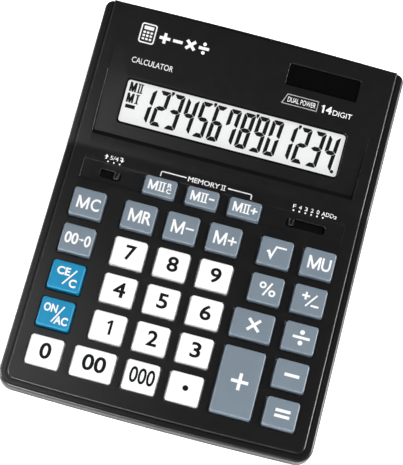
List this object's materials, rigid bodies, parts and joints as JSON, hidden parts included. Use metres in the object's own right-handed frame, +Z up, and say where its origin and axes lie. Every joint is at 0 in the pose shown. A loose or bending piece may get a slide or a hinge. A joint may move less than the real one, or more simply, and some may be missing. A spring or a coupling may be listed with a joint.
{
  "type": "desk calculator",
  "caption": "Desk calculator with a tilted display section, a solar cell, a full keypad with memory keys, two slide switches and a battery door underneath.",
  "frame": {"origin": "centre of the bounding box's bottom face, on the plane that the four feet stand on", "axes": "+X to the user's right, -Y towards the user (front edge), +Z up"},
  "size_m": [0.1568, 0.2052, 0.035],
  "materials": {
    "case_black": "fine moulded texture",
    "key_blue_grey": "satin",
    "key_white": "satin",
    "key_blue": "satin",
    "knob_black": "satin",
    "window_clear": "clear polished",
    "display_glass": "smooth reflective display panel",
    "holder_white": "plain moulded",
    "ribbon_brown": "thin film with printed tracks",
    "window_dark": "dark tinted",
    "solar_cell": "dark glass cell",
    "wire_red": "insulated wire",
    "wire_black": "insulated wire",
    "board_green": "solder mask",
    "mat_grey": "soft silicone",
    "chip_black": "epoxy blob",
    "capacitor_sleeve": "sleeve",
    "part_tan": "ceramic body",
    "cell_steel": "plain steel",
    "contact_steel": "plated spring strip",
    "screw_steel": "zinc plated",
    "wiper_brass": "spring strip",
    "foot_rubber": "soft pad"
  },
  "bodies": {
    "case": {"upper_case": "case_black", "lower_case": "case_black", "display_window": "window_clear", "lcd_panel": "display_glass", "lcd_holder": "holder_white", "lcd_ribbon": "ribbon_brown", "solar_window": "window_dark", "solar_cell": "solar_cell", "solar_wires": "wire_red", "circuit_board": "board_green", "key_mat": "mat_grey", "chip_cover": "chip_black", "capacitor": "capacitor_sleeve", "small_parts": "part_tan", "battery_cell": "cell_steel", "contact_minus": "contact_steel", "contact_plus": "contact_steel", "battery_wires": "wire_black", "battery_door": "case_black", "door_screw": "screw_steel", "case_screws": "screw_steel", "board_screws": "screw_steel", "feet": "foot_rubber"},
    "key_mii_recall": {"key_mii_recall": "key_blue_grey"},
    "key_mii_minus": {"key_mii_minus": "key_blue_grey"},
    "key_mii_plus": {"key_mii_plus": "key_blue_grey"},
    "key_mc": {"key_mc": "key_blue_grey"},
    "key_mr": {"key_mr": "key_blue_grey"},
    "key_m_minus": {"key_m_minus": "key_blue_grey"},
    "key_m_plus": {"key_m_plus": "key_blue_grey"},
    "key_root": {"key_root": "key_blue_grey"},
    "key_mark_up": {"key_mark_up": "key_blue_grey"},
    "key_step_back": {"key_step_back": "key_blue_grey"},
    "key_7": {"key_7": "key_white"},
    "key_8": {"key_8": "key_white"},
    "key_9": {"key_9": "key_white"},
    "key_percent": {"key_percent": "key_blue_grey"},
    "key_sign": {"key_sign": "key_blue_grey"},
    "key_clear": {"key_clear": "key_blue"},
    "key_4": {"key_4": "key_white"},
    "key_5": {"key_5": "key_white"},
    "key_6": {"key_6": "key_white"},
    "key_times": {"key_times": "key_blue_grey"},
    "key_divide": {"key_divide": "key_blue_grey"},
    "key_on": {"key_on": "key_blue"},
    "key_1": {"key_1": "key_white"},
    "key_2": {"key_2": "key_white"},
    "key_3": {"key_3": "key_white"},
    "key_plus": {"key_plus": "key_blue_grey"},
    "key_minus": {"key_minus": "key_blue_grey"},
    "key_0": {"key_0": "key_white"},
    "key_00": {"key_00": "key_white"},
    "key_000": {"key_000": "key_white"},
    "key_point": {"key_point": "key_white"},
    "key_equals": {"key_equals": "key_blue_grey"},
    "left_switch": {"left_knob": "knob_black", "left_wiper": "wiper_brass"},
    "right_switch": {"right_knob": "knob_black", "right_wiper": "wiper_brass"}
  },
  "joints": [
    {"name": "press_mii_recall", "type": "slide", "parent": "case", "child": "key_mii_recall", "axis": [0, 0.0523, -0.9986], "range_m": [0, 0.0018], "stiffness_N_per_m": 500, "deforming": ["key_mat"]},
    {"name": "press_mii_minus", "type": "slide", "parent": "case", "child": "key_mii_minus", "axis": [0, 0.0523, -0.9986], "range_m": [0, 0.0018], "stiffness_N_per_m": 500, "deforming": ["key_mat"]},
    {"name": "press_mii_plus", "type": "slide", "parent": "case", "child": "key_mii_plus", "axis": [0, 0.0523, -0.9986], "range_m": [0, 0.0018], "stiffness_N_per_m": 500, "deforming": ["key_mat"]},
    {"name": "press_mc", "type": "slide", "parent": "case", "child": "key_mc", "axis": [0, 0.0523, -0.9986], "range_m": [0, 0.0018], "stiffness_N_per_m": 500, "deforming": ["key_mat"]},
    {"name": "press_mr", "type": "slide", "parent": "case", "child": "key_mr", "axis": [0, 0.0523, -0.9986], "range_m": [0, 0.0018], "stiffness_N_per_m": 500, "deforming": ["key_mat"]},
    {"name": "press_m_minus", "type": "slide", "parent": "case", "child": "key_m_minus", "axis": [0, 0.0523, -0.9986], "range_m": [0, 0.0018], "stiffness_N_per_m": 500, "deforming": ["key_mat"]},
    {"name": "press_m_plus", "type": "slide", "parent": "case", "child": "key_m_plus", "axis": [0, 0.0523, -0.9986], "range_m": [0, 0.0018], "stiffness_N_per_m": 500, "deforming": ["key_mat"]},
    {"name": "press_root", "type": "slide", "parent": "case", "child": "key_root", "axis": [0, 0.0523, -0.9986], "range_m": [0, 0.0018], "stiffness_N_per_m": 500, "deforming": ["key_mat"]},
    {"name": "press_mark_up", "type": "slide", "parent": "case", "child": "key_mark_up", "axis": [0, 0.0523, -0.9986], "range_m": [0, 0.0018], "stiffness_N_per_m": 500, "deforming": ["key_mat"]},
    {"name": "press_step_back", "type": "slide", "parent": "case", "child": "key_step_back", "axis": [0, 0.0523, -0.9986], "range_m": [0, 0.0018], "stiffness_N_per_m": 500, "deforming": ["key_mat"]},
    {"name": "press_7", "type": "slide", "parent": "case", "child": "key_7", "axis": [0, 0.0523, -0.9986], "range_m": [0, 0.0018], "stiffness_N_per_m": 500, "deforming": ["key_mat"]},
    {"name": "press_8", "type": "slide", "parent": "case", "child": "key_8", "axis": [0, 0.0523, -0.9986], "range_m": [0, 0.0018], "stiffness_N_per_m": 500, "deforming": ["key_mat"]},
    {"name": "press_9", "type": "slide", "parent": "case", "child": "key_9", "axis": [0, 0.0523, -0.9986], "range_m": [0, 0.0018], "stiffness_N_per_m": 500, "deforming": ["key_mat"]},
    {"name": "press_percent", "type": "slide", "parent": "case", "child": "key_percent", "axis": [0, 0.0523, -0.9986], "range_m": [0, 0.0018], "stiffness_N_per_m": 500, "deforming": ["key_mat"]},
    {"name": "press_sign", "type": "slide", "parent": "case", "child": "key_sign", "axis": [0, 0.0523, -0.9986], "range_m": [0, 0.0018], "stiffness_N_per_m": 500, "deforming": ["key_mat"]},
    {"name": "press_clear", "type": "slide", "parent": "case", "child": "key_clear", "axis": [0, 0.0523, -0.9986], "range_m": [0, 0.0018], "stiffness_N_per_m": 500, "deforming": ["key_mat"]},
    {"name": "press_4", "type": "slide", "parent": "case", "child": "key_4", "axis": [0, 0.0523, -0.9986], "range_m": [0, 0.0018], "stiffness_N_per_m": 500, "deforming": ["key_mat"]},
    {"name": "press_5", "type": "slide", "parent": "case", "child": "key_5", "axis": [0, 0.0523, -0.9986], "range_m": [0, 0.0018], "stiffness_N_per_m": 500, "deforming": ["key_mat"]},
    {"name": "press_6", "type": "slide", "parent": "case", "child": "key_6", "axis": [0, 0.0523, -0.9986], "range_m": [0, 0.0018], "stiffness_N_per_m": 500, "deforming": ["key_mat"]},
    {"name": "press_times", "type": "slide", "parent": "case", "child": "key_times", "axis": [0, 0.0523, -0.9986], "range_m": [0, 0.0018], "stiffness_N_per_m": 500, "deforming": ["key_mat"]},
    {"name": "press_divide", "type": "slide", "parent": "case", "child": "key_divide", "axis": [0, 0.0523, -0.9986], "range_m": [0, 0.0018], "stiffness_N_per_m": 500, "deforming": ["key_mat"]},
    {"name": "press_on", "type": "slide", "parent": "case", "child": "key_on", "axis": [0, 0.0523, -0.9986], "range_m": [0, 0.0018], "stiffness_N_per_m": 500, "deforming": ["key_mat"]},
    {"name": "press_1", "type": "slide", "parent": "case", "child": "key_1", "axis": [0, 0.0523, -0.9986], "range_m": [0, 0.0018], "stiffness_N_per_m": 500, "deforming": ["key_mat"]},
    {"name": "press_2", "type": "slide", "parent": "case", "child": "key_2", "axis": [0, 0.0523, -0.9986], "range_m": [0, 0.0018], "stiffness_N_per_m": 500, "deforming": ["key_mat"]},
    {"name": "press_3", "type": "slide", "parent": "case", "child": "key_3", "axis": [0, 0.0523, -0.9986], "range_m": [0, 0.0018], "stiffness_N_per_m": 500, "deforming": ["key_mat"]},
    {"name": "press_plus", "type": "slide", "parent": "case", "child": "key_plus", "axis": [0, 0.0523, -0.9986], "range_m": [0, 0.0018], "stiffness_N_per_m": 500, "deforming": ["key_mat"]},
    {"name": "press_minus", "type": "slide", "parent": "case", "child": "key_minus", "axis": [0, 0.0523, -0.9986], "range_m": [0, 0.0018], "stiffness_N_per_m": 500, "deforming": ["key_mat"]},
    {"name": "press_0", "type": "slide", "parent": "case", "child": "key_0", "axis": [0, 0.0523, -0.9986], "range_m": [0, 0.0018], "stiffness_N_per_m": 500, "deforming": ["key_mat"]},
    {"name": "press_00", "type": "slide", "parent": "case", "child": "key_00", "axis": [0, 0.0523, -0.9986], "range_m": [0, 0.0018], "stiffness_N_per_m": 500, "deforming": ["key_mat"]},
    {"name": "press_000", "type": "slide", "parent": "case", "child": "key_000", "axis": [0, 0.0523, -0.9986], "range_m": [0, 0.0018], "stiffness_N_per_m": 500, "deforming": ["key_mat"]},
    {"name": "press_point", "type": "slide", "parent": "case", "child": "key_point", "axis": [0, 0.0523, -0.9986], "range_m": [0, 0.0018], "stiffness_N_per_m": 500, "deforming": ["key_mat"]},
    {"name": "press_equals", "type": "slide", "parent": "case", "child": "key_equals", "axis": [0, 0.0523, -0.9986], "range_m": [0, 0.0018], "stiffness_N_per_m": 500, "deforming": ["key_mat"]},
    {"name": "slide_left_switch", "type": "slide", "parent": "case", "child": "left_switch", "axis": [1, 0, 0], "range_m": [-0.00608, 0]},
    {"name": "slide_right_switch", "type": "slide", "parent": "case", "child": "right_switch", "axis": [1, 0, 0], "range_m": [0, 0.0152]}
  ]
}
